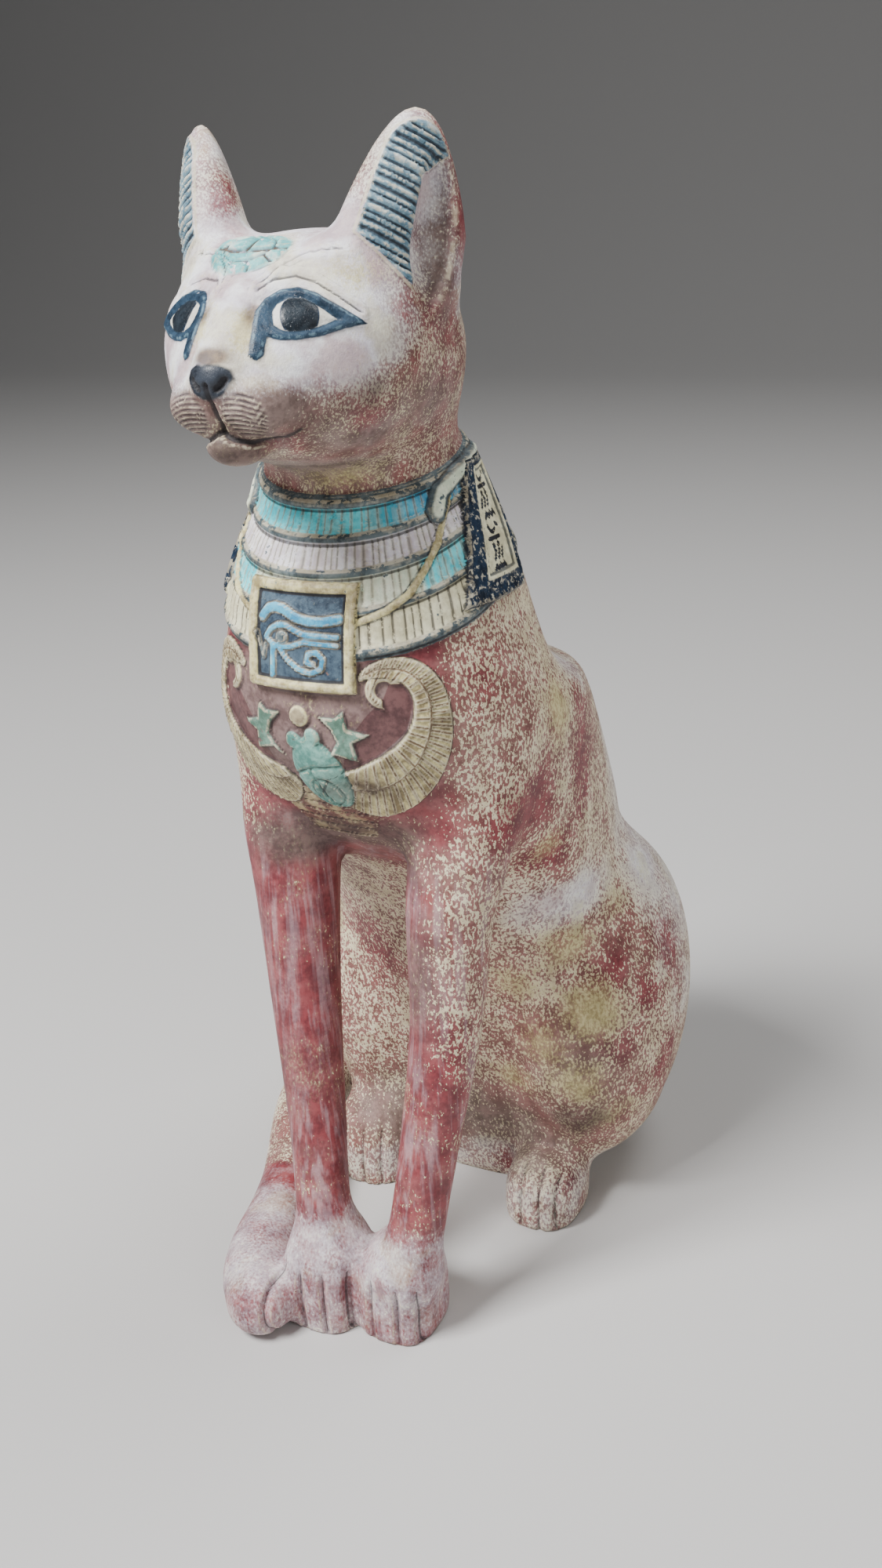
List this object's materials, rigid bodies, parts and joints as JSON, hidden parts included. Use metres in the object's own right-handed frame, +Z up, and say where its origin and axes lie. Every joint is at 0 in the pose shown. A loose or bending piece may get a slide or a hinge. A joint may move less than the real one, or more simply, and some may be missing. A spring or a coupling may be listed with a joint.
{
  "type": "cat figure",
  "caption": "Seated Egyptian cat figure with tall ears, striped collar, square eye pendant, winged scarab on the chest and tail curled round to the front paws.",
  "frame": {"origin": "on the flat underside, at the midplane of the body, 83 mm behind the front of the front paws", "axes": "+Z up, -Y towards the front, where the cat looks, +X towards the cat's left side"},
  "size_m": [0.1748, 0.2329, 0.4002],
  "materials": {
    "painted_cast": "matte cast surface with worn red, cream and lavender paint and teal and gold details"
  },
  "bodies": {
    "root": {"cat_figure": "painted_cast"}
  },
  "joints": []
}
